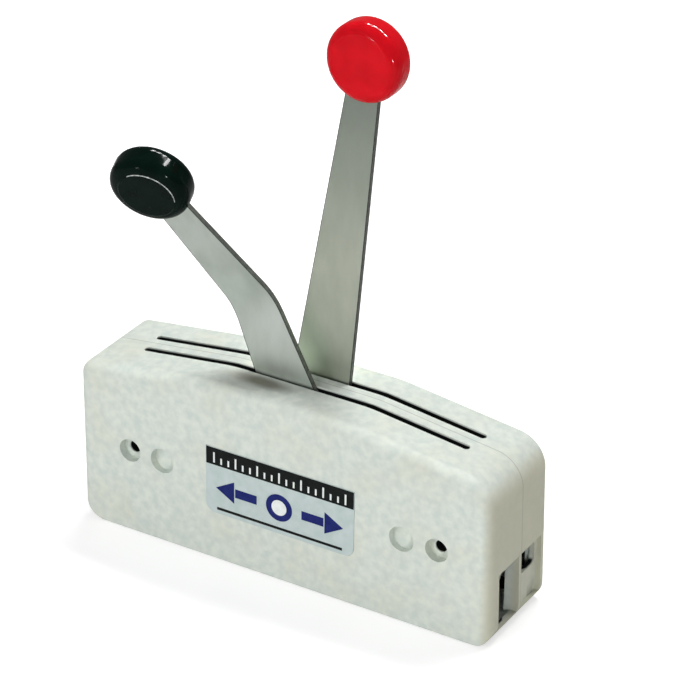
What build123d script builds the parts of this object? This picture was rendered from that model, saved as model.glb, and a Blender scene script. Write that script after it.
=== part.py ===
from build123d import *
import math
import os

# Side-mount control for a boat's engine: a shift lever and a throttle lever
# in one moulded housing. Millimetres and degrees. +X runs to the end where
# the cables leave, +Y to the boat's side and +Z up. The origin is on the
# underside, in the parting plane of the two shells.

# Housing
HOUSING_LENGTH = 220.0
END_HEIGHT = 82.4
MIDDLE_HEIGHT = 91.7
LEVEL_TOP_LENGTH = 72.0
FRONT_DEPTH = 30.0
BACK_DEPTH = 22.0
WALL = 3.0
LEFT_DRAFT = -0.4
RIGHT_DRAFT = 1.35
FOOT_RADIUS = 8.5
FRONT_FOOT_RADIUS = 15.0
FOOT_BLEND_DEPTH = 16.0
TOP_LEFT_RADIUS = 7.0
TOP_RIGHT_RADIUS = 15.5
CROWN_RADIUS = 80.0
FRONT_EDGE_RADIUS = 6.0
SHARP_EDGE_RADIUS = 1.0
CAVITY_EDGE_RADIUS = 1.5
LIP_WALL = 1.2
LIP_DEPTH = 2.0
LIP_GAP = 0.15
RIB_THICKNESS = 1.6
RIB_HEIGHT = 4.0
RIB_COUNT = 4
RIB_PITCH = 34.0

# Levers and their pivot
PIVOT_X = -2.0
LEVER_THICKNESS = 2.5
LEVER_SPACING = 12.6
SLOT_LEAN = 66.0
SHIFT_REST_LEAN = -24.4
THROTTLE_REST_LEAN = 7.4
SHIFT_ROOT_WIDTH = 31.4
SHIFT_TIP_WIDTH = 15.2
SHIFT_BEND_AT = 63.2
SHIFT_BEND = 26.9
SHIFT_BEND_RADIUS = 35.0
SHIFT_UPPER_LENGTH = 80.9
THROTTLE_ROOT_WIDTH = 31.5
THROTTLE_TIP_WIDTH = 15.0
THROTTLE_LENGTH = 183.8
HUB_RADIUS = 16.0
ARM_LENGTH = 44.0
ARM_END_RADIUS = 8.0
SLOT_WIDTH = 4.0
SLOT_FORWARD = 0.45
SLOT_MARGIN = 18.0

# Knobs
KNOB_RADIUS = 18.6
KNOB_THICKNESS = 15.4
KNOB_EDGE_RADIUS = 5.6
KNOB_FORWARD = 0.2
TANG_GAP = 0.05
KNOB_SCREW_RADIUS = 2.0
KNOB_SCREW_HEAD_RADIUS = 4.0
KNOB_SCREW_DEPTH = 11.5

# Pivot stack, from the front boss to the back boss
SHAFT_RADIUS = 5.0
RUNNING_GAP = 0.05
SIDE_GAP = 0.3
BUSH_RADIUS = 7.0
BUSH_FLANGE_RADIUS = 10.5
BUSH_FLANGE = 1.2
SPACER_RADIUS = 10.0
BOSS_RADIUS = 11.0
BORE_DEPTH = 9.0
THRUST_WASHER = 1.0
THRUST_WASHER_RADIUS = 9.5
DETENT_DISC_RADIUS = 17.5
DETENT_DISC_ROOM = 1.2
DETENT_DISC_THICKNESS = 3.0
DETENT_ANGLE = 44.0
DETENT_NOTCH_RADIUS = 2.0
DETENT_RIVET_RADIUS = 1.5
DETENT_RIVET_CIRCLE = 12.5
FRICTION_DISC_RADIUS = 14.5
FRICTION_DISC = 1.5
PRESSURE_PLATE = 1.2
SPRING_WASHER_RADIUS = 12.0
SPRING_WASHER = 1.0
SPRING_WASHER_HEIGHT = 2.0
END_GAP = 0.2

# Detent spring and its pillar
SPRING_THICKNESS = 0.8
SPRING_WIDTH = 6.0
SPRING_GAP = 0.2
SPRING_STAND_OFF = 4.0
SPRING_TOP = 10.0
SPRING_FOOT = 23.5
PILLAR_THICKNESS = 3.2
PILLAR_HEIGHT = 9.5
SPRING_SCREW_RADIUS = 1.5

# Cable ends and clamps
CABLE_RADIUS = 4.0
CABLE_HEIGHT = 26.5
CABLE_PIVOT_RADIUS = 5.0
CABLE_PIVOT_LENGTH = 8.0
CABLE_PIVOT_SHANK = 3.0
CABLE_ROD_RADIUS = 2.6
CLIP_THICKNESS = 0.8
CLIP_RADIUS = 5.6
CLIP_GROOVE_DEPTH = 0.8
CLAMP_INSET = 19.5
CLAMP_LENGTH = 12.0
SADDLE_HALF_HEIGHT = 12.5
STRAP_THICKNESS = 1.6
STRAP_SCREW_OFFSET = 9.5
STRAP_SCREW_RADIUS = 1.75
STRAP_SCREW_HEAD_RADIUS = 3.0
STRAP_SCREW_HEAD = 2.0

# Cable exits in the right end
EXIT_FLOOR = 5.0
EXIT_TOP = 35.0
FRONT_EXIT_NEAR = 21.0
DIVIDER = 2.0
DIVIDER_LENGTH = 7.7
WEB = 2.5
WEB_HOLE_WIDTH = 14.0
WEB_HOLE_HEIGHT = 11.5
WEB_HOLE_RADIUS = 3.0

# Holes in the front, pockets and screws
MOUNT_HOLE_INSET = 28.0
MOUNT_HOLE_RADIUS = 3.0
MOUNT_SINK_RADIUS = 5.8
MOUNT_SINK_DEPTH = 4.5
MOUNT_TUBE_RADIUS = 7.5
HOLE_HEIGHT = 43.6
POCKET_INSET = 46.0
POCKET_RADIUS = 6.3
POCKET_DEPTH = 3.5
POCKET_WALL = 2.0
SCREW_RADIUS = 1.75
SCREW_HEAD_RADIUS = 3.5
SCREW_HEAD = 2.4
SCREW_GAP = 0.1
SCREW_BOSS_RADIUS = 5.0
SCREW_BITE = 14.0
UPPER_SCREW_INSET = 15.0
UPPER_SCREW_HEIGHT = 68.0
LOWER_SCREW_INSET = 36.0
LOWER_SCREW_HEIGHT = 10.0

# Label
LABEL_LENGTH = 79.2
LABEL_LOW = 25.3
LABEL_HIGH = 60.1
LABEL_THICKNESS = 0.6
LABEL_RECESS = 0.4
LABEL_RADIUS = 5.0
LABEL_GAP = 0.1

HALF_LENGTH = HOUSING_LENGTH / 2
PIVOT_HEIGHT = MIDDLE_HEIGHT - WALL - DETENT_DISC_ROOM - DETENT_DISC_RADIUS
FRONT_FACE = -FRONT_DEPTH
FRONT_INSIDE = WALL - FRONT_DEPTH
BACK_INSIDE = BACK_DEPTH - WALL
SHIFT_PLANE = -LEVER_SPACING / 2
THROTTLE_PLANE = LEVER_SPACING / 2
DISC_FACE = SHIFT_PLANE - LEVER_THICKNESS / 2 - DETENT_DISC_THICKNESS
FRONT_BOSS_END = DISC_FACE - SIDE_GAP - THRUST_WASHER
FRICTION_FACE = THROTTLE_PLANE + LEVER_THICKNESS / 2 + SIDE_GAP
BACK_BOSS_END = FRICTION_FACE + FRICTION_DISC + PRESSURE_PLATE + SPRING_WASHER_HEIGHT
CABLE_PLANE = LEVER_SPACING / 2 + LEVER_THICKNESS / 2 + SIDE_GAP + CABLE_PIVOT_LENGTH / 2
MOUNT_HOLES = (MOUNT_HOLE_INSET - HALF_LENGTH, HALF_LENGTH - MOUNT_HOLE_INSET)
POCKETS = (POCKET_INSET - HALF_LENGTH, HALF_LENGTH - POCKET_INSET)
SCREWS = [
    (side * (HALF_LENGTH - inset), height)
    for inset, height in ((UPPER_SCREW_INSET, UPPER_SCREW_HEIGHT), (LOWER_SCREW_INSET, LOWER_SCREW_HEIGHT))
    for side in (-1, 1)
]
FRONT, BACK = -1, 1
FACING_FRONT = Plane.XZ


def rod(x, z, radius, start, end):
    """A round bar along Y, from start to end."""
    length = end - start
    return Pos(x, (start + end) / 2, z) * Rot(90, 0, 0) * Cylinder(radius, length)


def ring(x, z, radius, hole, start, end):
    return rod(x, z, radius, start, end) - rod(x, z, hole, start - 1, end + 1)


def block(low, high):
    """A box between two opposite corners."""
    size = [b - a for a, b in zip(low, high)]
    middle = [(a + b) / 2 for a, b in zip(low, high)]
    return Pos(*middle) * Box(*size)


def along_y(sketch, start, end):
    """Extrude a sketch drawn in X and Z from start to end along Y."""
    return Pos(0, end, 0) * extrude(FACING_FRONT * sketch, end - start)


def round_corner(sketch, point, radius):
    corner = sketch.vertices().sort_by_distance(Vector(*point, 0))[0]
    return fillet(corner, radius)


def end_at(side, height):
    """How far the left (-1) or right (1) end wall is from the middle at a height."""
    draft = LEFT_DRAFT if side < 0 else RIGHT_DRAFT
    return HALF_LENGTH - height * math.tan(math.radians(draft))


def housing_outline(foot=0.0, foot_radius=None):
    """The housing's outline in X and Z: drafted ends and a top that slopes to both sides."""
    level = [PIVOT_X - LEVEL_TOP_LENGTH / 2, PIVOT_X + LEVEL_TOP_LENGTH / 2]
    corners = [
        (-end_at(-1, foot), foot), (end_at(1, foot), foot), (end_at(1, END_HEIGHT), END_HEIGHT),
        (level[1], MIDDLE_HEIGHT), (level[0], MIDDLE_HEIGHT), (-end_at(-1, END_HEIGHT), END_HEIGHT),
    ]
    sketch = make_face(Polyline(*corners, close=True))
    radii = [foot_radius, foot_radius, TOP_RIGHT_RADIUS, CROWN_RADIUS, CROWN_RADIUS, TOP_LEFT_RADIUS]
    for corner, radius in zip(corners, radii):
        if radius:
            sketch = round_corner(sketch, corner, radius)
    return sketch


def inset_outline(amount):
    return offset(housing_outline(foot_radius=FOOT_RADIUS), amount=-amount)


def edges_at(solid, y):
    return solid.edges().filter_by(lambda edge: abs(edge.bounding_box().min.Y - y) < 0.01
                                   and abs(edge.bounding_box().max.Y - y) < 0.01)


def foot_corner_cut(side):
    """What is cut off a lower corner so that its radius grows towards the front face."""
    squares, circles = [], []
    blend_end = FRONT_DEPTH - FOOT_BLEND_DEPTH
    for depth, radius in ((FRONT_DEPTH + 1, FRONT_FOOT_RADIUS), (blend_end, FOOT_RADIUS)):
        plane = Plane(origin=(0, -depth, 0), x_dir=(1, 0, 0), z_dir=(0, -1, 0))
        centre = side * (end_at(side, 0) - radius)
        squares.append(plane * (Pos(centre + side * radius, 0) * Rectangle(2 * radius, 2 * radius)))
        circles.append(plane * (Pos(centre, radius) * Circle(radius)))
    return loft(squares, ruled=True) - loft(circles, ruled=True)


def front_block():
    """The front half as a solid: soft edges round the top and the ends, and a nearly sharp bottom edge.

    The two lower corners are rounder at the front face than at the parting plane.
    """
    sharp = along_y(housing_outline(foot_radius=FOOT_RADIUS), FRONT_FACE, 0)
    sharp = fillet(edges_at(sharp, FRONT_FACE), SHARP_EDGE_RADIUS)
    deep = -2 * FOOT_RADIUS
    soft = along_y(housing_outline(foot=deep), FRONT_FACE, 0)
    rim = edges_at(soft, FRONT_FACE).filter_by(lambda edge: edge.center().Z > deep + 0.1)
    solid = sharp & fillet(rim, FRONT_EDGE_RADIUS)
    return solid - foot_corner_cut(-1) - foot_corner_cut(1)


def cavity(start, end, floor):
    """The room inside a shell, with its floor's edges rounded as the mould leaves them."""
    room = along_y(inset_outline(WALL), start, end)
    return fillet(edges_at(room, floor), CAVITY_EDGE_RADIUS)


def lip_ring(gap):
    """The tongue of the back shell, or with a gap the groove in the front shell."""
    outer = inset_outline(WALL - LIP_WALL - gap)
    return along_y(outer - inset_outline(WALL), -LIP_DEPTH - gap, 0)


def slot_end(side, root, tip, length):
    """How far from the middle a lever's leading edge crosses the top when it leans to its limit."""
    lean = math.radians(SLOT_LEAN)
    taper = (root - tip) / 2 / length
    level = side * PIVOT_X + LEVEL_TOP_LENGTH / 2
    slope = (MIDDLE_HEIGHT - END_HEIGHT) / (end_at(side, END_HEIGHT) - level)
    across, up = math.sin(lean), math.cos(lean)
    foot = (side * PIVOT_X + root / 2 * up, PIVOT_HEIGHT - root / 2 * across)
    climb = (up + taper * across) + slope * (across - taper * up)
    run = (END_HEIGHT + slope * (end_at(side, END_HEIGHT) - foot[0]) - foot[1]) / climb
    return foot[0] + run * (across - taper * up)


def lever_slots():
    """The two slots in the top that the levers stand in, with more room in front of a lever than behind."""
    cuts = []
    for plane, root, tip, length in (
        (SHIFT_PLANE, SHIFT_ROOT_WIDTH, SHIFT_TIP_WIDTH, SHIFT_BEND_AT + SHIFT_UPPER_LENGTH),
        (THROTTLE_PLANE, THROTTLE_ROOT_WIDTH, THROTTLE_TIP_WIDTH, THROTTLE_LENGTH),
    ):
        left = -slot_end(-1, root, tip, length) - SLOT_MARGIN
        right = slot_end(1, root, tip, length) + SLOT_MARGIN
        slot = Pos((left + right) / 2, plane - SLOT_FORWARD) * SlotOverall(right - left, SLOT_WIDTH)
        cuts.append(extrude(Pos(0, 0, PIVOT_HEIGHT) * slot, MIDDLE_HEIGHT))
    return cuts


def saddle(side):
    """The pad that a cable lies in, with its half-round groove and two screw holes."""
    wall = FRONT_INSIDE if side == FRONT else BACK_INSIDE
    face = side * CABLE_PLANE
    x = HALF_LENGTH - CLAMP_INSET
    low, high = sorted((wall + side, face))
    pad = block((x, low, WALL / 2), (x + CLAMP_LENGTH, high, CABLE_HEIGHT + SADDLE_HALF_HEIGHT))
    groove = Pos(x + CLAMP_LENGTH / 2, face, CABLE_HEIGHT) * Rot(0, 90, 0)
    pad -= groove * Cylinder(CABLE_RADIUS, CLAMP_LENGTH)
    for offset_z in (-STRAP_SCREW_OFFSET, STRAP_SCREW_OFFSET):
        start, end = sorted((face, face + side * SCREW_BITE / 2))
        pad -= rod(x + CLAMP_LENGTH / 2, CABLE_HEIGHT + offset_z, STRAP_SCREW_RADIUS, start, end)
    return pad


def front_ribs():
    """Low stiffening ribs across the inside of the front face."""
    ribs = []
    for i in range(RIB_COUNT):
        x = (i - (RIB_COUNT - 1) / 2) * RIB_PITCH
        ribs.append(block((x - RIB_THICKNESS / 2, FRONT_INSIDE - 1, WALL / 2),
                          (x + RIB_THICKNESS / 2, FRONT_INSIDE + RIB_HEIGHT, LABEL_LOW + WALL)))
    return ribs


def spring_pillar():
    right = PIVOT_X - DETENT_DISC_RADIUS - SPRING_STAND_OFF - SPRING_THICKNESS
    top = PIVOT_HEIGHT - SPRING_FOOT + PILLAR_HEIGHT
    face = DISC_FACE + DETENT_DISC_THICKNESS - SIDE_GAP
    pillar = block((right - PILLAR_THICKNESS, FRONT_INSIDE - 1, top - PILLAR_HEIGHT), (right, face, top))
    hole = Pos(right, face - SPRING_WIDTH / 2, top - PILLAR_HEIGHT / 2) * Rot(0, 90, 0)
    return pillar - hole * Cylinder(SPRING_SCREW_RADIUS, 2 * PILLAR_THICKNESS + 1)


def exit_cut(start, end):
    """The opening that a cable leaves by, through the right end wall."""
    return block((HALF_LENGTH - 2 * WALL - 1, start, EXIT_FLOOR), (HALF_LENGTH + 1, end, EXIT_TOP))


def front_shell():
    shell = front_block() - cavity(FRONT_INSIDE, 0, FRONT_INSIDE) - lip_ring(LIP_GAP)
    root = FRONT_INSIDE - 1
    for x in MOUNT_HOLES:
        shell += rod(x, HOLE_HEIGHT, MOUNT_TUBE_RADIUS, root, 0)
    pocket_floor = FRONT_FACE + POCKET_DEPTH
    for x in POCKETS:
        shell += rod(x, HOLE_HEIGHT, POCKET_RADIUS + POCKET_WALL, root, pocket_floor + POCKET_WALL)
    for x, z in SCREWS:
        shell += rod(x, z, SCREW_BOSS_RADIUS, root, 0)
    shell += rod(PIVOT_X, PIVOT_HEIGHT, BOSS_RADIUS, root, FRONT_BOSS_END)
    shell += saddle(FRONT)
    shell += spring_pillar()
    for rib in front_ribs():
        shell += rib
    shell -= exit_cut(-FRONT_EXIT_NEAR, -DIVIDER)
    divider = block((HALF_LENGTH - DIVIDER_LENGTH, -DIVIDER, WALL / 2),
                    (HALF_LENGTH - WALL / 2, 0, EXIT_TOP + WALL))
    shell += divider & along_y(inset_outline(SHARP_EDGE_RADIUS / 2), -DIVIDER, 0)
    for x in MOUNT_HOLES:
        shell -= rod(x, HOLE_HEIGHT, MOUNT_HOLE_RADIUS, FRONT_FACE - 1, 1)
        shell -= rod(x, HOLE_HEIGHT, MOUNT_SINK_RADIUS, FRONT_FACE - 1, FRONT_FACE + MOUNT_SINK_DEPTH)
    for x in POCKETS:
        shell -= rod(x, HOLE_HEIGHT, POCKET_RADIUS, FRONT_FACE - 1, pocket_floor)
    for x, z in SCREWS:
        shell -= rod(x, z, SCREW_RADIUS, -SCREW_BITE - 1, 1)
    bore_floor = FRONT_BOSS_END - BORE_DEPTH
    shell -= rod(PIVOT_X, PIVOT_HEIGHT, SHAFT_RADIUS + RUNNING_GAP, bore_floor, FRONT_BOSS_END)
    shell -= label_body(LABEL_GAP, FRONT_FACE - 1, FRONT_FACE + LABEL_RECESS)
    for cut in lever_slots():
        shell -= cut
    return shell


def back_block():
    solid = along_y(housing_outline(foot_radius=FOOT_RADIUS), 0, BACK_DEPTH)
    return fillet(edges_at(solid, BACK_DEPTH), SHARP_EDGE_RADIUS)


def exit_web():
    """The wall just inside the back exit, with the rounded hole that the cable passes."""
    inside = end_at(1, EXIT_FLOOR) - WALL
    wall = block((inside - WEB, LIP_GAP, WALL / 2), (inside, BACK_INSIDE + 1, EXIT_TOP + WALL))
    wall = wall & along_y(inset_outline(SHARP_EDGE_RADIUS / 2), 0, BACK_DEPTH)
    hole = Rectangle(WEB_HOLE_WIDTH, WEB_HOLE_HEIGHT)
    hole = fillet(hole.vertices(), WEB_HOLE_RADIUS)
    middle = (inside - WEB - 1, CABLE_PLANE - WALL / 2, CABLE_HEIGHT)
    cutter = extrude(Plane(origin=middle, x_dir=(0, 1, 0), z_dir=(1, 0, 0)) * hole, 2 * WALL + WEB)
    return wall, cutter


def back_shell():
    shell = back_block() - cavity(0, BACK_INSIDE, BACK_INSIDE)
    root = BACK_INSIDE + 1
    for x in MOUNT_HOLES:
        shell += rod(x, HOLE_HEIGHT, MOUNT_TUBE_RADIUS, 0, root)
    for x, z in SCREWS:
        shell += rod(x, z, SCREW_BOSS_RADIUS, 0, root)
    shell += rod(PIVOT_X, PIVOT_HEIGHT, BOSS_RADIUS, BACK_BOSS_END, root)
    shell += saddle(BACK)
    shell += lip_ring(0) - block((HALF_LENGTH - DIVIDER_LENGTH - LIP_GAP, -2 * LIP_DEPTH, 0),
                                 (HALF_LENGTH, 1, EXIT_TOP + WALL + LIP_GAP))
    shell -= exit_cut(-2 * LIP_DEPTH, BACK_INSIDE)
    web, hole = exit_web()
    shell += web
    shell -= hole
    for x in MOUNT_HOLES:
        shell -= rod(x, HOLE_HEIGHT, MOUNT_HOLE_RADIUS, -1, BACK_DEPTH + 1)
    for x, z in SCREWS:
        shell -= rod(x, z, SCREW_RADIUS + SCREW_GAP, -1, BACK_DEPTH + 1)
        shell -= rod(x, z, SCREW_HEAD_RADIUS + 2 * SCREW_GAP, BACK_INSIDE - SCREW_HEAD, BACK_DEPTH + 1)
    shell -= rod(PIVOT_X, PIVOT_HEIGHT, SHAFT_RADIUS + RUNNING_GAP, BACK_BOSS_END, BACK_INSIDE)
    for cut in lever_slots():
        shell -= cut
    return shell


def label_body(gap, start, end):
    height = LABEL_HIGH - LABEL_LOW + 2 * gap
    outline = Rectangle(LABEL_LENGTH + 2 * gap, height)
    outline = fillet(outline.vertices().sort_by(Axis.Y)[:2], LABEL_RADIUS)
    return along_y(Pos(0, (LABEL_LOW + LABEL_HIGH) / 2) * outline, start, end)


def label_plate():
    face = FRONT_FACE + LABEL_RECESS
    return label_body(0, face - LABEL_THICKNESS, face)


def lever_outline(root, tip, length):
    """A lever seen from the front, upright, with its pivot at the origin and its arm below."""
    corners = [(-root / 2, 0), (root / 2, 0), (tip / 2, length), (-tip / 2, length)]
    blade = make_face(Polyline(*corners, close=True))
    tang_end = Pos(0, length) * Circle(tip / 2)
    hub = Circle(HUB_RADIUS)
    arm_end = Pos(0, -ARM_LENGTH) * Circle(ARM_END_RADIUS)
    arm = make_hull((hub + arm_end).edges())
    return blade + tang_end + arm


def in_place(shape, lean):
    """Stand an upright lever piece on the pivot and lean it."""
    return Pos(PIVOT_X, 0, PIVOT_HEIGHT) * Rot(0, lean, 0) * shape


def pivot_holes(start, end):
    return rod(0, 0, BUSH_RADIUS + RUNNING_GAP, start, end) \
        + rod(0, -ARM_LENGTH, CABLE_PIVOT_SHANK + RUNNING_GAP, start, end)


def knob_plane(side_plane, height, forward, lean_forward):
    """Where a knob sits on an upright lever; its Z runs out of the knob's front, from the blade's middle."""
    angle = math.radians(lean_forward)
    return Plane(origin=(0, side_plane - forward, height), x_dir=(1, 0, 0),
                 z_dir=(0, -math.cos(angle), -math.sin(angle)))


def shift_knob_plane():
    angle = math.radians(SHIFT_BEND)
    height = SHIFT_BEND_AT + SHIFT_UPPER_LENGTH * math.cos(angle)
    return knob_plane(SHIFT_PLANE, height, SHIFT_UPPER_LENGTH * math.sin(angle), SHIFT_BEND)


def throttle_knob_plane():
    return knob_plane(THROTTLE_PLANE, THROTTLE_LENGTH, 0, 0)


def shift_lever_upright():
    """A flat blade bent towards the driver above the housing, by a sweep cut to the outline."""
    angle = math.radians(SHIFT_BEND)
    top = SHIFT_UPPER_LENGTH + SHIFT_TIP_WIDTH
    bottom = -ARM_LENGTH - 2 * ARM_END_RADIUS
    bend = (0, SHIFT_PLANE, SHIFT_BEND_AT)
    end = (0, SHIFT_PLANE - top * math.sin(angle), SHIFT_BEND_AT + top * math.cos(angle))
    path = FilletPolyline((0, SHIFT_PLANE, bottom), bend, end, radius=SHIFT_BEND_RADIUS)
    start = Plane(origin=(0, SHIFT_PLANE, bottom), z_dir=(0, 0, 1))
    strip = sweep(start * Rectangle(4 * HUB_RADIUS, LEVER_THICKNESS), path=path)
    length = SHIFT_BEND_AT + SHIFT_UPPER_LENGTH * math.cos(angle)
    outline = lever_outline(SHIFT_ROOT_WIDTH, SHIFT_TIP_WIDTH, length)
    blade = strip & along_y(outline, end[1] - KNOB_RADIUS, KNOB_RADIUS)
    low, high = SHIFT_PLANE - LEVER_THICKNESS, SHIFT_PLANE + LEVER_THICKNESS
    blade -= pivot_holes(low, high)
    for x in (-DETENT_RIVET_CIRCLE, DETENT_RIVET_CIRCLE):
        blade -= rod(x, 0, DETENT_RIVET_RADIUS, low, high)
    return blade - shift_knob_plane() * Cylinder(KNOB_SCREW_RADIUS, KNOB_THICKNESS)


def throttle_lever_upright():
    start, end = THROTTLE_PLANE - LEVER_THICKNESS / 2, THROTTLE_PLANE + LEVER_THICKNESS / 2
    outline = lever_outline(THROTTLE_ROOT_WIDTH, THROTTLE_TIP_WIDTH, THROTTLE_LENGTH)
    blade = along_y(outline, start, end) - pivot_holes(start - 1, end + 1)
    return blade - throttle_knob_plane() * Cylinder(KNOB_SCREW_RADIUS, KNOB_THICKNESS)


def knob_faces():
    """The back and the front of a knob, along its axis from the middle of the lever's blade."""
    return KNOB_FORWARD - KNOB_THICKNESS / 2, KNOB_FORWARD + KNOB_THICKNESS / 2


def knob(plane, root, tip, length, lean_forward):
    """A thick round knob with rounded rims, slotted from below for the lever's tip."""
    back, face = knob_faces()
    disc = Pos(0, 0, KNOB_FORWARD) * Cylinder(KNOB_RADIUS, face - back)
    body = fillet(disc.edges().filter_by(GeomType.CIRCLE), KNOB_EDGE_RADIUS)
    mouth = tip + (root - tip) * KNOB_RADIUS / length + 2 * TANG_GAP
    slot = Pos(0, -KNOB_RADIUS / 2, 0) * Box(mouth, KNOB_RADIUS, LEVER_THICKNESS + 2 * TANG_GAP)
    tilt = math.radians(lean_forward)
    reach = tip / 2 / math.cos(tilt) + LEVER_THICKNESS / 2 * math.tan(tilt) + 2 * TANG_GAP
    slot += Cylinder(max(mouth / 2, reach), LEVER_THICKNESS + 2 * TANG_GAP)
    body -= slot
    body -= Pos(0, 0, KNOB_SCREW_DEPTH / 2 + back) * Cylinder(KNOB_SCREW_RADIUS, KNOB_SCREW_DEPTH)
    body -= Pos(0, 0, KNOB_SCREW_RADIUS / 2 + back) * Cylinder(KNOB_SCREW_HEAD_RADIUS, KNOB_SCREW_RADIUS)
    return plane * body


def knob_screw(plane):
    back, _ = knob_faces()
    bottom = KNOB_SCREW_DEPTH / 2 + back
    shank = Pos(0, 0, bottom) * Cylinder(KNOB_SCREW_RADIUS - RUNNING_GAP, KNOB_SCREW_DEPTH - SCREW_GAP)
    head = Pos(0, 0, KNOB_SCREW_RADIUS / 2 + back)
    head *= Cylinder(KNOB_SCREW_HEAD_RADIUS - SCREW_GAP, KNOB_SCREW_RADIUS - SCREW_GAP)
    drive = Pos(0, 0, back) * Box(2 * KNOB_SCREW_HEAD_RADIUS, KNOB_SCREW_RADIUS / 2, KNOB_SCREW_RADIUS)
    return plane * (shank + head - drive)


def bush(plane, inner):
    """A flanged sleeve in a lever; inner is the side of its flange, -1 front or 1 back."""
    face = plane + inner * LEVER_THICKNESS / 2
    far = DISC_FACE if plane < 0 else plane - inner * LEVER_THICKNESS / 2
    start, end = sorted((face, far))
    sleeve = rod(0, 0, BUSH_RADIUS, start, end)
    start, end = sorted((face, face + inner * BUSH_FLANGE))
    sleeve += rod(0, 0, BUSH_FLANGE_RADIUS, start, end)
    return sleeve - rod(0, 0, SHAFT_RADIUS + RUNNING_GAP, SHIFT_PLANE * 3, THROTTLE_PLANE * 3)


def detent_disc():
    """The notched disc on the shift lever: ahead, neutral and astern."""
    start, end = DISC_FACE, DISC_FACE + DETENT_DISC_THICKNESS
    disc = rod(0, 0, DETENT_DISC_RADIUS, start, end)
    disc -= rod(0, 0, BUSH_RADIUS + RUNNING_GAP, start - 1, end + 1)
    for angle in (-DETENT_ANGLE, 0, DETENT_ANGLE):
        turn = math.radians(angle)
        disc -= rod(-DETENT_DISC_RADIUS * math.cos(turn), -DETENT_DISC_RADIUS * math.sin(turn),
                    DETENT_NOTCH_RADIUS, start - 1, end + 1)
    for x in (-DETENT_RIVET_CIRCLE, DETENT_RIVET_CIRCLE):
        disc -= rod(x, 0, DETENT_RIVET_RADIUS, start - 1, end + 1)
    return disc


def detent_rivets():
    end = SHIFT_PLANE + LEVER_THICKNESS / 2
    return [rod(x, 0, DETENT_RIVET_RADIUS - RUNNING_GAP / 2, DISC_FACE, end)
            for x in (-DETENT_RIVET_CIRCLE, DETENT_RIVET_CIRCLE)]


def detent_spring():
    """A strip of spring steel with a rounded nose that rides on the detent disc."""
    x = PIVOT_X - DETENT_DISC_RADIUS - SPRING_STAND_OFF - SPRING_THICKNESS / 2
    nose = PIVOT_X - DETENT_DISC_RADIUS - SPRING_GAP - SPRING_THICKNESS / 2
    foot = PIVOT_HEIGHT - SPRING_FOOT
    bend = SPRING_STAND_OFF + SPRING_THICKNESS
    face = DISC_FACE + DETENT_DISC_THICKNESS - SIDE_GAP
    y = face - SPRING_WIDTH / 2
    path = FilletPolyline((x, y, foot), (x, y, PIVOT_HEIGHT - bend), (nose, y, PIVOT_HEIGHT),
                          (x, y, PIVOT_HEIGHT + SPRING_TOP), radius=SPRING_THICKNESS)
    section = Plane(origin=(x, y, foot), z_dir=(0, 0, 1)) * Rectangle(SPRING_THICKNESS, SPRING_WIDTH)
    strip = sweep(section, path=path)
    hole = Pos(x, y, foot + PILLAR_HEIGHT / 2) * Rot(0, 90, 0)
    return strip - hole * Cylinder(SPRING_SCREW_RADIUS + RUNNING_GAP, 4 * SPRING_THICKNESS)


def detent_spring_screw():
    outer = PIVOT_X - DETENT_DISC_RADIUS - SPRING_STAND_OFF
    pillar = outer - SPRING_THICKNESS - PILLAR_THICKNESS
    y = DISC_FACE + DETENT_DISC_THICKNESS - SIDE_GAP - SPRING_WIDTH / 2
    z = PIVOT_HEIGHT - SPRING_FOOT + PILLAR_HEIGHT / 2
    shank = Pos((outer + pillar) / 2, y, z) * Rot(0, 90, 0) \
        * Cylinder(SPRING_SCREW_RADIUS - RUNNING_GAP, outer - pillar)
    head = Pos(outer + SPRING_SCREW_RADIUS / 2, y, z) * Rot(0, 90, 0) \
        * Cylinder(2 * SPRING_SCREW_RADIUS, SPRING_SCREW_RADIUS)
    return shank + head


def pivot_shaft():
    """The fixed shaft that both levers turn on, held in the bosses of the two shells."""
    start = FRONT_BOSS_END - BORE_DEPTH + END_GAP
    return rod(PIVOT_X, PIVOT_HEIGHT, SHAFT_RADIUS, start, BACK_INSIDE - END_GAP)


def on_shaft(radius, start, end):
    return ring(PIVOT_X, PIVOT_HEIGHT, radius, SHAFT_RADIUS + 2 * RUNNING_GAP, start, end)


def centre_spacer():
    half = THROTTLE_PLANE - LEVER_THICKNESS / 2 - BUSH_FLANGE - SIDE_GAP
    return on_shaft(SPACER_RADIUS, -half, half)


def thrust_washer():
    return on_shaft(THRUST_WASHER_RADIUS, FRONT_BOSS_END, FRONT_BOSS_END + THRUST_WASHER)


def friction_disc():
    return on_shaft(FRICTION_DISC_RADIUS, FRICTION_FACE, FRICTION_FACE + FRICTION_DISC)


def pressure_plate():
    start = FRICTION_FACE + FRICTION_DISC
    return on_shaft(FRICTION_DISC_RADIUS, start, start + PRESSURE_PLATE)


def spring_washer():
    """A coned disc spring that presses the plate and the friction disc on the throttle lever."""
    inner = SHAFT_RADIUS + 2 * RUNNING_GAP
    rise = SPRING_WASHER_HEIGHT - SPRING_WASHER
    cone = make_face(Polyline((inner, rise), (inner, SPRING_WASHER_HEIGHT),
                              (SPRING_WASHER_RADIUS, SPRING_WASHER), (SPRING_WASHER_RADIUS, 0), close=True))
    washer = Rot(-90, 0, 0) * revolve(Plane.XZ * cone, Axis.Z)
    return Pos(PIVOT_X, BACK_BOSS_END - SPRING_WASHER_HEIGHT, PIVOT_HEIGHT) * washer


def arm_end(lean):
    """Where a lever's arm carries its cable pivot at the lever's rest."""
    angle = math.radians(lean)
    return PIVOT_X - ARM_LENGTH * math.sin(angle), PIVOT_HEIGHT - ARM_LENGTH * math.cos(angle)


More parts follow.
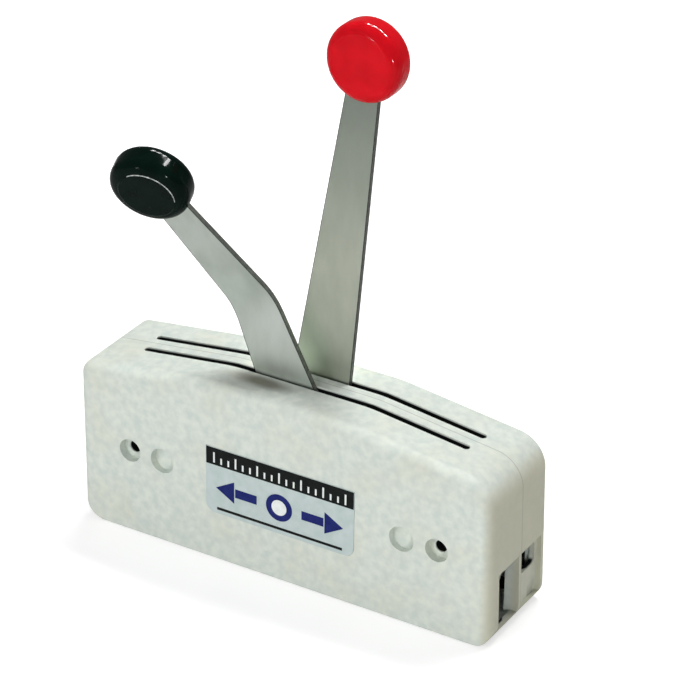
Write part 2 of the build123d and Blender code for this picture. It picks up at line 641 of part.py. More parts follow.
def pivot_span(side, start, end):
    """Two distances from the parting plane, as places along Y on one side of it."""
    return sorted((side * start, side * end))


def cable_pivot(side, lean):
    """A turned pin through the arm, with a cross hole in its head for the cable's threaded end."""
    x, z = arm_end(lean)
    outer = LEVER_SPACING / 2 + LEVER_THICKNESS / 2 + SIDE_GAP
    inner = LEVER_SPACING / 2 - LEVER_THICKNESS / 2 - SIDE_GAP
    pin = rod(x, z, CABLE_PIVOT_RADIUS, *pivot_span(side, outer, outer + CABLE_PIVOT_LENGTH))
    pin += rod(x, z, CABLE_PIVOT_SHANK, *pivot_span(side, inner - 2 * CLIP_THICKNESS, outer))
    pin -= ring(x, z, CABLE_PIVOT_SHANK + 1, CABLE_PIVOT_SHANK - CLIP_GROOVE_DEPTH,
                *pivot_span(side, inner - CLIP_THICKNESS, inner))
    cross = Pos(x, side * CABLE_PLANE, z) * Rot(0, 90, 0)
    return pin - cross * Cylinder(CABLE_ROD_RADIUS, 2 * CABLE_PIVOT_RADIUS + 1)


def pivot_clip(side, lean):
    """The spring clip in the groove of a cable pivot, open to one side."""
    x, z = arm_end(lean)
    inner = LEVER_SPACING / 2 - LEVER_THICKNESS / 2 - SIDE_GAP
    start, end = pivot_span(side, inner - CLIP_THICKNESS, inner)
    groove = CABLE_PIVOT_SHANK - CLIP_GROOVE_DEPTH
    clip = ring(x, z, CLIP_RADIUS, groove + RUNNING_GAP, start, end)
    return clip - block((x, start - 1, z - groove), (x + 2 * CLIP_RADIUS, end + 1, z + groove))


def cable_strap(side):
    """A pressed steel strap whose arch holds the cable's outer casing in the saddle."""
    half = SADDLE_HALF_HEIGHT
    flat = Pos(-side * STRAP_THICKNESS / 2, 0) * Rectangle(STRAP_THICKNESS, 2 * half)
    profile = flat + Circle(CABLE_RADIUS + STRAP_THICKNESS) - Circle(CABLE_RADIUS)
    reach = 2 * CABLE_RADIUS
    profile -= Pos(side * reach, 0) * Rectangle(2 * reach, 4 * half)
    start = HALF_LENGTH - CLAMP_INSET
    strap = extrude(Plane(origin=(start, side * CABLE_PLANE, CABLE_HEIGHT), x_dir=(0, 1, 0), z_dir=(1, 0, 0))
                    * profile, CLAMP_LENGTH)
    for x, z in strap_screws():
        strap -= rod(x, z, STRAP_SCREW_RADIUS, -BACK_DEPTH, BACK_DEPTH)
    return strap


def strap_screws():
    x = HALF_LENGTH - CLAMP_INSET + CLAMP_LENGTH / 2
    return [(x, CABLE_HEIGHT - STRAP_SCREW_OFFSET), (x, CABLE_HEIGHT + STRAP_SCREW_OFFSET)]


def clamp_screws():
    screws = []
    for side in (FRONT, BACK):
        face = CABLE_PLANE - STRAP_THICKNESS
        for x, z in strap_screws():
            radius = STRAP_SCREW_RADIUS - RUNNING_GAP
            screw = rod(x, z, radius, *pivot_span(side, face, CABLE_PLANE + SCREW_BITE / 2 - SCREW_GAP))
            screw += rod(x, z, STRAP_SCREW_HEAD_RADIUS, *pivot_span(side, face - STRAP_SCREW_HEAD, face))
            screws.append(screw)
    return screws


def assembly_screws():
    screws = []
    for x, z in SCREWS:
        head = BACK_INSIDE - SCREW_HEAD
        screw = rod(x, z, SCREW_RADIUS - RUNNING_GAP, SCREW_GAP - SCREW_BITE, head)
        screws.append(screw + rod(x, z, SCREW_HEAD_RADIUS, head, BACK_INSIDE))
    return screws


def shift_pieces():
    """What turns with the shift lever, upright on the origin."""
    plane = shift_knob_plane()
    length = SHIFT_BEND_AT + SHIFT_UPPER_LENGTH * math.cos(math.radians(SHIFT_BEND))
    return {
        "shift_lever": shift_lever_upright(),
        "shift_knob": knob(plane, SHIFT_ROOT_WIDTH, SHIFT_TIP_WIDTH, length, SHIFT_BEND),
        "shift_knob_screw": knob_screw(plane),
        "shift_bush": bush(SHIFT_PLANE, BACK),
        "detent_disc": detent_disc(),
        "detent_rivets": detent_rivets(),
    }


def throttle_pieces():
    """What turns with the throttle lever, upright on the origin."""
    plane = throttle_knob_plane()
    return {
        "throttle_lever": throttle_lever_upright(),
        "throttle_knob": knob(plane, THROTTLE_ROOT_WIDTH, THROTTLE_TIP_WIDTH, THROTTLE_LENGTH, 0),
        "throttle_knob_screw": knob_screw(plane),
        "throttle_bush": bush(THROTTLE_PLANE, FRONT),
    }


def fixed_pieces():
    return {
        "front_shell": front_shell(),
        "back_shell": back_shell(),
        "label_plate": label_plate(),
        "pivot_shaft": pivot_shaft(),
        "centre_spacer": centre_spacer(),
        "thrust_washer": thrust_washer(),
        "friction_disc": friction_disc(),
        "pressure_plate": pressure_plate(),
        "spring_washer": spring_washer(),
        "detent_spring": detent_spring(),
        "detent_spring_screw": detent_spring_screw(),
        "shift_cable_strap": cable_strap(FRONT),
        "throttle_cable_strap": cable_strap(BACK),
        "clamp_screws": clamp_screws(),
        "assembly_screws": assembly_screws(),
    }


def cable_pieces():
    return {
        "shift_cable_pivot": cable_pivot(FRONT, SHIFT_REST_LEAN),
        "shift_pivot_clip": pivot_clip(FRONT, SHIFT_REST_LEAN),
        "throttle_cable_pivot": cable_pivot(BACK, THROTTLE_REST_LEAN),
        "throttle_pivot_clip": pivot_clip(BACK, THROTTLE_REST_LEAN),
    }


def leaning(pieces, lean):
    """Stand upright pieces on the pivot at a lean."""
    placed = {}
    for node, shape in pieces.items():
        solids = shape if isinstance(shape, list) else [shape]
        placed[node] = [in_place(solid, lean) for solid in solids]
    return placed


def write(pieces):
    os.makedirs("parts", exist_ok=True)
    for node, shape in pieces.items():
        solids = shape if isinstance(shape, list) else [shape]
        solids = [solid for group in solids for solid in group.solids()]
        export_step(Compound(children=solids) if len(solids) > 1 else solids[0], f"parts/{node}.step")


def main():
    write(fixed_pieces())
    write(leaning(shift_pieces(), SHIFT_REST_LEAN))
    write(leaning(throttle_pieces(), THROTTLE_REST_LEAN))
    write(cable_pieces())


main()
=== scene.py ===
# %% [markdown]
# # A boat's throttle and shift control
# The object is a flat box of moulded plastic with two steel levers on one
# shaft. The CAD model gives the real shapes. This lesson gives every piece its
# finish, replaces the few pieces whose edges need softening, prints the label,
# and lights the object like a small product in a studio. Lengths are in
# metres, and MM turns a drawing's millimetres into them.

# %% Load the CAD frame
import math
import bmesh
import bpy
from mathutils import Matrix, Vector


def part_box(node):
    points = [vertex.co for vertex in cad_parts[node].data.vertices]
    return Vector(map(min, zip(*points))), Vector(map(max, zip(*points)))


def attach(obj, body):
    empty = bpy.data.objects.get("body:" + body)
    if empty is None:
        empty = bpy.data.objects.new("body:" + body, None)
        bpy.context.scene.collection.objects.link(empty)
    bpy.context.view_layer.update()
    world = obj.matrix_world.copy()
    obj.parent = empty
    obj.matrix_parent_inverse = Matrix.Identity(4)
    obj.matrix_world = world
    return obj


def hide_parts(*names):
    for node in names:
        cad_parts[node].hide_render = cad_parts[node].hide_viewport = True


MM = 0.001
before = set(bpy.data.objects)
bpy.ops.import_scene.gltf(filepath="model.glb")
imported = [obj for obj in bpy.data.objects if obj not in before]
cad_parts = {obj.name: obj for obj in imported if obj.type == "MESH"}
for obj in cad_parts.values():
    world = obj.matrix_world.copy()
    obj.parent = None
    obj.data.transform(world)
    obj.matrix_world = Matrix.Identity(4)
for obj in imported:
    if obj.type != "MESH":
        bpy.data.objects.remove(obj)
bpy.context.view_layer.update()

# %% [markdown]
# ## Tools for materials
# A colour in a swatch book is written in sRGB, but light adds up in linear
# values, so one function turns hex colours to linear. A second one adds a node
# with its settings and its links, which keeps the recipes below short.

# %% Colour and node tools
def linear(hex_colour):
    """A colour written as sRGB hex, as linear RGBA."""
    parts = [int(hex_colour[i:i + 2], 16) / 255 for i in (1, 3, 5)]
    return [v / 12.92 if v <= 0.04045 else ((v + 0.055) / 1.055) ** 2.4 for v in parts] + [1.0]


def add_node(material, kind, inputs=None, **settings):
    """Add a node: inputs are numbers, colours or other nodes' sockets, by name or number."""
    node = material.node_tree.nodes.new(kind)
    for name, value in settings.items():
        setattr(node, name, value)
    for socket, value in (inputs or {}).items():
        if isinstance(value, bpy.types.NodeSocket):
            material.node_tree.links.new(value, node.inputs[socket])
        else:
            node.inputs[socket].default_value = value
    return node


# %% [markdown]
# No real surface has one flat colour. Resin, mould and polish leave soft
# patches, and a finer grain that spreads the light. So every finish here
# starts from the same recipe: a large noise drifts the colour between two
# shades, and a fine noise raises the surface and makes it duller in places.
# Photographs of real surfaces could do the same, but they would have to be
# wrapped round each piece. Noise fills the space that the piece stands in, so
# it runs on over every edge, and its sizes are real lengths.

# %% The recipe that every finish starts from
DRIFT_FROM, DRIFT_TO = 0.35, 0.65
DULLER = 0.04


def finish(name, dark, light, roughness, patch, grain, depth, metallic=0.0,
           stretch=(1, 1, 1), specular=0.5):
    """A finish that drifts from dark to light over patches, raised by depth over each grain.

    Its roughness varies by DULLER both ways. A stretch below 1 draws the
    patches out along that axis.
    """
    material = bpy.data.materials.new(name)
    material.use_nodes = True
    shader = material.node_tree.nodes["Principled BSDF"]
    shader.inputs["Metallic"].default_value = metallic
    shader.inputs["Specular IOR Level"].default_value = specular
    place = add_node(material, "ShaderNodeTexCoord").outputs["Object"]
    stretched = add_node(material, "ShaderNodeMapping", {"Vector": place, "Scale": stretch})
    spot = stretched.outputs["Vector"]
    clouds = add_node(material, "ShaderNodeTexNoise",
                      {"Vector": spot, "Scale": 1 / patch, "Detail": 4.0})
    drift = add_node(material, "ShaderNodeMapRange",
                     {"Value": clouds.outputs["Fac"], "From Min": DRIFT_FROM,
                      "From Max": DRIFT_TO})
    shades = add_node(material, "ShaderNodeMix",
                      {0: drift.outputs["Result"], 6: linear(dark), 7: linear(light)},
                      data_type="RGBA")
    fine = add_node(material, "ShaderNodeTexNoise",
                    {"Vector": spot, "Scale": 1 / grain, "Detail": 2.0})
    dull = add_node(material, "ShaderNodeMapRange",
                    {"Value": fine.outputs["Fac"], "To Min": roughness - DULLER,
                     "To Max": roughness + DULLER})
    raised = add_node(material, "ShaderNodeBump",
                      {"Height": fine.outputs["Fac"], "Distance": depth})
    for output, socket in ((shades.outputs[2], "Base Color"),
                           (dull.outputs["Result"], "Roughness"),
                           (raised.outputs["Normal"], "Normal")):
        material.node_tree.links.new(output, shader.inputs[socket])
    return material


def recolour(material, factor, colour):
    """Lay a colour over the finish's own colours where factor is 1."""
    base = material.node_tree.nodes["Principled BSDF"].inputs["Base Color"]
    laid = add_node(material, "ShaderNodeMix",
                    {0: factor, 6: base.links[0].from_socket, 7: linear(colour)},
                    data_type="RGBA")
    material.node_tree.links.new(laid.outputs[2], base)


def dress(material, *names):
    """Give CAD nodes their finish."""
    for name in names:
        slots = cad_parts[name].data.materials
        slots.clear()
        slots.append(material)


# %% [markdown]
# ## Moulded ABS
# The two shells are injection moulded in off-white ABS. The mould was spark
# eroded, which leaves a fine even grain, about 0.1 mm on the real part and
# drawn at 0.6 mm here so that it shows. The grain takes away nearly all of the
# shine, so the specular level is low. Sun and hands have made the colour
# cloudy, and slightly yellow in wide patches. The right end, where the cables
# leave, is painted darker and warmer: partly a warmer tone, and partly painted
# shade on the end that faces away from the lamps.

# %% ABS: grain, clouds and yellowing
SUN_PATCH, YELLOWING = 22 * MM, 0.4
YELLOW_FROM, YELLOW_FULLY = 0.45, 0.75
END_SHADE_FROM, END_SHADE_FULLY, END_SHADE_AMOUNT = 104 * MM, 108 * MM, 0.8
abs_plastic = finish("moulded_abs_off_white", "#C6CFC9", "#D6DCD3", roughness=0.46,
                     patch=4.2 * MM, grain=0.6 * MM, depth=0.03 * MM, specular=0.04)
part_place = add_node(abs_plastic, "ShaderNodeTexCoord").outputs["Object"]
part = add_node(abs_plastic, "ShaderNodeSeparateXYZ", {"Vector": part_place}).outputs
sun = add_node(abs_plastic, "ShaderNodeTexNoise",
               {"Vector": part_place, "Scale": 1 / SUN_PATCH, "Detail": 3.0}).outputs["Fac"]
yellowed = add_node(abs_plastic, "ShaderNodeMapRange",
                    {"Value": sun, "From Min": YELLOW_FROM, "From Max": YELLOW_FULLY,
                     "To Max": YELLOWING})
recolour(abs_plastic, yellowed.outputs["Result"], "#D3D1BF")
# Painted shade with a warmer tone: the right end is darkened from here on.
end_shade_and_tint = add_node(abs_plastic, "ShaderNodeMapRange",
                {"Value": part["X"], "From Min": END_SHADE_FROM, "From Max": END_SHADE_FULLY,
                 "To Max": END_SHADE_AMOUNT})
recolour(abs_plastic, end_shade_and_tint.outputs["Result"], "#C2C0AB")

# %% [markdown]
# In front of the shift lever's foot the top is painted darker: a painted
# shadow of the lever. It could be painted onto the mesh, but then it would be
# lost whenever the CAD model changes. So it is the space round a point,
# squeezed to the shadow's own length and width, with noise to break up its
# edge.

# %% ABS: the painted shadow beside the shift lever
LEVER_SHADOW_MIDDLE = Vector((-20, -14.5, 91.3)) * MM
LEVER_SHADOW_REACH = Vector((21, 7, 6)) * MM
LEVER_SHADOW_EDGE, LEVER_SHADOW_HEART, LEVER_SHADOW_STRENGTH = 1.45, 0.7, 0.75
RAGGEDNESS = 0.9
squeeze = Vector([1 / reach for reach in LEVER_SHADOW_REACH])
around = add_node(abs_plastic, "ShaderNodeMapping",
                  {"Vector": part_place, "Scale": squeeze, "Location": -LEVER_SHADOW_MIDDLE * squeeze})
away = add_node(abs_plastic, "ShaderNodeVectorMath", {0: around.outputs["Vector"]},
                operation="LENGTH")
ragged = add_node(abs_plastic, "ShaderNodeMath",
                  {0: sun, 1: RAGGEDNESS, 2: away.outputs["Value"]}, operation="MULTIPLY_ADD")
painted_lever_shadow = add_node(abs_plastic, "ShaderNodeMapRange",
                  {"Value": ragged.outputs[0], "From Min": LEVER_SHADOW_EDGE,
                   "From Max": LEVER_SHADOW_HEART, "To Max": LEVER_SHADOW_STRENGTH},
                  interpolation_type="SMOOTHSTEP")
# Painted shadow of the shift lever on the top, in front of its foot.
recolour(abs_plastic, painted_lever_shadow.outputs["Result"], "#63604F")

# %% [markdown]
# The two shells meet in a fine line, in which dirt settles. A real groove of a
# tenth of a millimetre would be too narrow to see. So the colour alone darkens
# close to the plane Y = 0, in which the shells meet.

# %% ABS: the parting line
LINE_EDGE, LINE_HEART, LINE_STRENGTH = 0.25 * MM, 0.1 * MM, 0.6
beside_line = add_node(abs_plastic, "ShaderNodeMath", {0: part["Y"]}, operation="ABSOLUTE")
parting = add_node(abs_plastic, "ShaderNodeMapRange",
                   {"Value": beside_line.outputs[0], "From Min": LINE_EDGE,
                    "From Max": LINE_HEART, "To Max": LINE_STRENGTH})
recolour(abs_plastic, parting.outputs["Result"], "#7C7D70")

# %% [markdown]
# The inside of the housing is painted nearly black, as painted shade. Its
# faces could get a material of their own, but a wall's rim would then be cut
# off hard. So the painted shade is the space inside flat planes: front, back
# and floor, a top that is level over the pivot and falls to both sides, three
# that follow the large radius at the right, and the ends. A point lies as deep
# inside as its least distance from these planes. The ends are measured from
# the middle both ways. One end plane slants, which leaves the divider between
# the cables pale, and the other leans as the end walls do.

# %% ABS: the painted shade inside
TOP_HEIGHT, TOP_MIDDLE, TOP_HALF_LEVEL, TOP_FALL = 91.7 * MM, -2 * MM, 36 * MM, 0.129
INSIDE_FRONT, INSIDE_BACK, INSIDE_FLOOR = 25.5 * MM, 17.5 * MM, 4 * MM
CORNER_RADIUS, CORNER_X, CORNER_Z = 15.5 * MM, 92.9 * MM, 68.5 * MM
CORNER_LEANS = (0.6, 1.0, 2.0)
DIVIDER_END, DIVIDER_SLANT = 101.6 * MM, 0.5
WALL_END, WALL_LEAN = 107.6 * MM, 0.03
SHADE_FROM, SHADE_OVER, DEEPEST = 0.35 * MM, 0.6 * MM, 1.0
high_end = TOP_HEIGHT + TOP_HALF_LEVEL * TOP_FALL
planes = [
    ((0, 0, 1), TOP_HEIGHT),
    ((TOP_FALL, 0, 1), high_end + TOP_MIDDLE * TOP_FALL),
    ((-TOP_FALL, 0, 1), high_end - TOP_MIDDLE * TOP_FALL),
    ((0, -1, 0), INSIDE_FRONT),
    ((0, 1, 0), INSIDE_BACK),
    ((0, 0, -1), -INSIDE_FLOOR),
]
for lean in CORNER_LEANS:
    reach = lean * CORNER_X + CORNER_Z + CORNER_RADIUS * math.hypot(lean, 1)
    planes.append(((lean, 0, 1), reach))
ends = [((1, -DIVIDER_SLANT, 0), DIVIDER_END), ((1, 0, WALL_LEAN), WALL_END)]
both_ways = add_node(abs_plastic, "ShaderNodeVectorMath", {0: part_place},
                     operation="ABSOLUTE").outputs["Vector"]
deep = DEEPEST
for spot, sides in ((part_place, planes), (both_ways, ends)):
    for direction, reach in sides:
        along = add_node(abs_plastic, "ShaderNodeVectorMath", {0: spot, 1: direction},
                         operation="DOT_PRODUCT")
        room = add_node(abs_plastic, "ShaderNodeMath", {0: reach, 1: along.outputs["Value"]},
                        operation="SUBTRACT")
        deep = add_node(abs_plastic, "ShaderNodeMath", {0: room.outputs[0], 1: deep},
                        operation="MINIMUM").outputs[0]
# Painted shade: the inside turns nearly black past a small depth.
painted_shade_inside = add_node(abs_plastic, "ShaderNodeMapRange",
                  {"Value": deep, "From Min": SHADE_FROM, "From Max": SHADE_FROM + SHADE_OVER})
recolour(abs_plastic, painted_shade_inside.outputs["Result"], "#141617")
dress(abs_plastic, "front_shell", "back_shell")
print("planes round the dark inside:", len(planes) + len(ends))

# %% [markdown]
# ## Stainless steel
# The levers are punched from satin stainless sheet. Rolling leaves long, faint
# streaks. An anisotropic shader could draw out the mirror images along them,
# but on flat sheet that hardly shows, so the patches of colour are stretched
# instead. The throttle's sheet is duller, and its colour is painted darker than
# the shift's, as painted shade, and darker still towards the knob. A punched
# edge has a grey sheared face between two rounded corners, and all three are
# painted dark along the edge as painted shade.

# %% Satin steel
SHEET = dict(patch=11 * MM, grain=0.8 * MM, depth=0.006 * MM, metallic=1.0,
             stretch=(1, 1, 0.35))
DARKER_FROM, DARKER_FULLY = 150 * MM, 240 * MM
shift_steel = finish("satin_stainless_sheet", "#CDD5CD", "#DBE2DB", roughness=0.42, **SHEET)
# Painted shade: the throttle's steel is a darker copy of the shift's, darker still towards the
# knob.
shaded_throttle_steel = finish("shaded_stainless_sheet", "#BDC3B4", "#CACFC1", roughness=0.44, **SHEET)
steel_place = add_node(shaded_throttle_steel, "ShaderNodeTexCoord").outputs["Object"]
steel = add_node(shaded_throttle_steel, "ShaderNodeSeparateXYZ", {"Vector": steel_place}).outputs
darker_towards_knob = add_node(shaded_throttle_steel, "ShaderNodeMapRange",
                   {"Value": steel["Z"], "From Min": DARKER_FROM, "From Max": DARKER_FULLY})
recolour(shaded_throttle_steel, darker_towards_knob.outputs["Result"], "#8C948B")
# Painted shade on the blades' edges: near-black rounded corners and a dark grey sheared face.
painted_shade_corner = finish("painted_shade_rounded_edge", "#0D0F0D", "#1D1F1C", roughness=0.6, patch=3 * MM,
                     grain=0.5 * MM, depth=0.02 * MM)
shaded_sheared_face = finish("shaded_sheared_steel_face", "#565954", "#6B6E68", roughness=0.5,
                      patch=1.5 * MM, grain=0.4 * MM, depth=0.02 * MM, metallic=1.0)

# %% [markdown]
# The blades could be modelled anew, but a copy keeps the true outline, bend and
# holes. The CAD mesh comes in small triangles, so equal points are joined and
# flat faces made whole, and then a bevel rounds the corners. The flat sides
# are inset, which leaves a thin border along each corner that is painted dark
# as painted shade. A face's finish follows from how far it looks sideways,
# square to the lever's length: the sheared edge does so fully, the rounded
# corners in part, and the flat sides not at all. So BLADES holds how many
# degrees each lever leans from upright, and its steel. Large flats stay flat
# shaded, because smooth shading lays false streaks over faces with so many
# corners.

# %% Soft-edged blades
EDGE_RADIUS, SHADE_BORDER = 0.4 * MM, 0.25 * MM
SAME_POINT, SAME_PLANE = 0.001 * MM, math.radians(0.5)
CORNER_ANGLE = math.radians(50)
NOT_SIDEWAYS, CORNER_FROM, SHEARED_FROM = 0.02, 0.3, 0.92
OUTWARDS = 0.8
BLADES = {"shift_lever": (-24.4, shift_steel), "throttle_lever": (7.4, shaded_throttle_steel)}


def soft_blade(node, lean):
    """A copy of a lever's blade with rounded corners, painted dark as painted shade."""
    mesh = bmesh.new()
    mesh.from_mesh(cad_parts[node].data)
    bmesh.ops.remove_doubles(mesh, verts=mesh.verts, dist=SAME_POINT)
    bmesh.ops.dissolve_limit(mesh, angle_limit=SAME_PLANE, verts=mesh.verts, edges=mesh.edges)
    corners = [e for e in mesh.edges
               if len(e.link_faces) == 2 and e.calc_face_angle() > CORNER_ANGLE]
    bmesh.ops.bevel(mesh, geom=corners, offset=EDGE_RADIUS, segments=2, profile=0.5,
                    material=-1, affect="EDGES", clamp_overlap=True)
    turn = math.radians(lean)
    sideways = Vector((math.cos(turn), 0, -math.sin(turn)))
    flats = []
    for face in mesh.faces:
        side = abs(face.normal @ sideways)
        # Sideways faces get the painted edge shade.
        face.material_index = 2 if side > SHEARED_FROM else 1 if side > CORNER_FROM else 0
        if side < NOT_SIDEWAYS and abs(face.normal.y) > OUTWARDS:
            flats.append(face)
    border = bmesh.ops.inset_region(mesh, faces=flats, thickness=SHADE_BORDER,
                                    use_even_offset=True)
    for face in border["faces"]:
        face.material_index = 1
    print(node, "blade:", len(mesh.faces), "faces,", len(border["faces"]), "in the border")
    return mesh


LARGE_FLAT = 100 * MM * MM


def new_piece(name, mesh, body, materials, sharp_from=30):
    """Make an object of a bmesh and tie it to a body.

    It is smooth but for its large flat faces and its edges above sharp_from degrees.
    """
    for face in mesh.faces:
        face.smooth = face.calc_area() < LARGE_FLAT
    for edge in mesh.edges:
        if len(edge.link_faces) == 2 and edge.calc_face_angle() > math.radians(sharp_from):
            edge.smooth = False
    data = bpy.data.meshes.new(name)
    mesh.to_mesh(data)
    mesh.free()
    for material in materials:
        data.materials.append(material)
    piece = bpy.data.objects.new(name, data)
    bpy.context.collection.objects.link(piece)
    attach(piece, body)
    return piece


for node, (lean, sheet) in BLADES.items():
    finishes = [sheet, painted_shade_corner, shaded_sheared_face]
    blade = new_piece(node + "_blade", soft_blade(node, lean), node, finishes)
    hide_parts(node)

# %% [markdown]
# ## Phenolic knobs
# Lever knobs are pressed from phenolic resin and polished. The surface is hard
# and nearly smooth, so it mirrors the lamps in small sharp spots, and the
# slight waves of the polish make those spots uneven. Its refraction is set low,
# because a white floor mirrored at 1.6 would wash out so dark a colour.

# %% Polished resin in red and black
POLISHED = dict(roughness=0.09, patch=9 * MM, grain=3.5 * MM, depth=0.03 * MM)
red_resin = finish("polished_red_phenolic", "#C40D19", "#D2101D", **POLISHED)
black_resin = finish("polished_black_phenolic", "#04110D", "#081813", **POLISHED)
# Painted highlight: a pale finish for the slope round the black knob's face.
painted_highlight_resin = finish("painted_highlight_black_phenolic", "#6F7774", "#C9CFCC", roughness=0.35,
                    patch=1.5 * MM, grain=0.4 * MM, depth=0.01 * MM)
for resin, ior in ((red_resin, 1.2), (black_resin, 1.13)):
    resin.node_tree.nodes["Principled BSDF"].inputs["IOR"].default_value = ior

# %% [markdown]
# A knob is a thick disc with large round rims. The black one's face stands a
# little proud, with a fine slope round it that is painted pale on the upper
# right as a painted highlight, and the red one's is level. A knob could be a
# profile spun round its axis. Here it is a cylinder whose rims are bevelled,
# because the few sizes of that can be read off the real knob. Then the front
# cap is inset and pushed out for the face, and the back cap is inset and pushed
# in for the screw's sunk hole. The knob is made facing up its own Z axis and
# turned to its lever at the end, so the highlighted side is given in the knob's
# own axes. The red knob looks straight ahead, and the black one down by the
# blade's BEND.

# %% Knobs
KNOB_RADIUS, KNOB_THICKNESS, KNOB_RIM = 18.6 * MM, 15.4 * MM, 5.3 * MM
FACE_STEP, FACE_EDGE = 0.35 * MM, 0.12 * MM
HIGHLIT_SIDE, HIGHLIT_BEYOND = Vector((0.5, 0.86, 0)), 0.3 * KNOB_RADIUS
SINK_RADIUS, SINK_DEPTH = 4 * MM, 2 * MM
KNOB_SEGMENTS, RIM_SEGMENTS = 128, 14
HEIGHT_DIGITS = 6


def cap_of(mesh, side):
    """The flat face at the front (1) or back (-1) of an upright disc.

    Heights are rounded to a micrometre, and of the faces at one height the one
    with the most corners is the cap.
    """
    mesh.faces.ensure_lookup_table()
    return max(mesh.faces, key=lambda face: (
        round(side * face.calc_center_median().z, HEIGHT_DIGITS), len(face.verts)))


def knob(name, node, body, axis, materials, step):
    """A knob on a node's place, facing along axis, with its face raised by step."""
    mesh = bmesh.new()
    bmesh.ops.create_cone(mesh, cap_ends=True, segments=KNOB_SEGMENTS, radius1=KNOB_RADIUS,
                          radius2=KNOB_RADIUS, depth=KNOB_THICKNESS - step)
    bmesh.ops.translate(mesh, verts=mesh.verts, vec=(0, 0, -step / 2))
    rims = [e for e in mesh.edges if e.calc_face_angle() > CORNER_ANGLE]
    bmesh.ops.bevel(mesh, geom=rims, offset=KNOB_RIM, segments=RIM_SEGMENTS, profile=0.5,
                    material=-1, affect="EDGES")
    if step:
        face = cap_of(mesh, 1)
        slope = bmesh.ops.inset_region(mesh, faces=[face], thickness=step, depth=step)
        for strip in slope["faces"]:
            # Slope strips on the upper right get the painted highlight.
            if strip.calc_center_median() @ HIGHLIT_SIDE > HIGHLIT_BEYOND:
                strip.material_index = 1
        bmesh.ops.bevel(mesh, geom=list(face.edges), offset=FACE_EDGE, segments=3,
                        profile=0.5, material=-1, affect="EDGES")
    back = cap_of(mesh, -1)
    bmesh.ops.inset_region(mesh, faces=[back], thickness=KNOB_RADIUS - KNOB_RIM - SINK_RADIUS)
    sink = bmesh.ops.extrude_face_region(mesh, geom=[back])
    sunk = [v for v in sink["geom"] if isinstance(v, bmesh.types.BMVert)]
    bmesh.ops.translate(mesh, verts=sunk, vec=(0, 0, SINK_DEPTH))
    bmesh.ops.delete(mesh, geom=[back], context="FACES")
    low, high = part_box(node)
    middle = (Vector(low) + Vector(high)) / 2
    turn = Vector(axis).to_track_quat("Z", "Y").to_matrix().to_4x4()
    bmesh.ops.transform(mesh, matrix=Matrix.Translation(middle) @ turn, verts=mesh.verts)
    bmesh.ops.recalc_face_normals(mesh, faces=mesh.faces)
    open_edges = sum(len(e.link_faces) != 2 for e in mesh.edges)
    piece = new_piece(name, mesh, body, materials, sharp_from=50)
    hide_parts(node)
    print(name, "at", [round(v, 4) for v in middle], "open edges:", open_edges)


BEND = math.radians(26.9)
shift_lean = math.radians(BLADES["shift_lever"][0])
shift_axis = (-math.sin(BEND) * math.sin(shift_lean), -math.cos(BEND),
              -math.sin(BEND) * math.cos(shift_lean))
knob("red_knob", "throttle_knob", "throttle_lever", (0, -1, 0), [red_resin], 0)
knob("black_knob", "shift_knob", "shift_lever", shift_axis, [black_resin, painted_highlight_resin], FACE_STEP)

# %% [markdown]
# ## Hardware
# Screws, washers and straps are zinc plated, which dries in small cloudy
# spangles. The springs and clips are blued by their tempering. The cable
# pivots are turned brass, the bushes and the spacer are nylon, and the
# friction disc is pressed fibre with coarse flecks. Most of these pieces are
# hidden and could be left grey, but someone may open the housing, so every
# piece gets its true finish. Their CAD meshes are fine enough as they are.

# %% Plated steel, spring steel, brass, nylon and fibre
zinc = finish("bright_zinc_plated_steel", "#A9ADB0", "#C6C9CA", roughness=0.33,
              patch=2.5 * MM, grain=0.5 * MM, depth=0.01 * MM, metallic=1.0)
blued = finish("blued_spring_steel", "#4C5160", "#6C6E76", roughness=0.30, patch=4 * MM,
               grain=0.5 * MM, depth=0.005 * MM, metallic=1.0)
brass = finish("turned_brass", "#BC9A50", "#D2B26C", roughness=0.26, patch=3 * MM,
               grain=0.3 * MM, depth=0.008 * MM, metallic=1.0, stretch=(1, 4, 1))
nylon = finish("natural_nylon", "#DDD9C9", "#E8E5DA", roughness=0.45, patch=4 * MM,
               grain=0.5 * MM, depth=0.01 * MM)
fibre = finish("pressed_friction_fibre", "#54442F", "#7E6A50", roughness=0.80,
               patch=1.2 * MM, grain=0.3 * MM, depth=0.04 * MM)
dress(zinc, "pivot_shaft", "thrust_washer", "pressure_plate", "detent_spring_screw",
      "shift_cable_strap", "throttle_cable_strap", "clamp_screws", "assembly_screws",
      "shift_knob_screw", "throttle_knob_screw", "detent_disc", "detent_rivets")
dress(blued, "spring_washer", "detent_spring", "shift_pivot_clip", "throttle_pivot_clip")
dress(brass, "shift_cable_pivot", "throttle_cable_pivot")
dress(nylon, "centre_spacer", "shift_bush", "throttle_bush")
dress(fibre, "friction_disc")

# %% [markdown]
# ## Label
# The label is a thin plate with a screen print: a dark band with a scale of
# white ticks, and under it blue arrows to both sides of a ring, for ahead,
# neutral and astern, over a thin dark rule. The print could be an image on the
# plate, but shapes stay sharp from near by. Screen ink lies on the surface, so
# each colour is a layer a few hundredths of a millimetre thick.

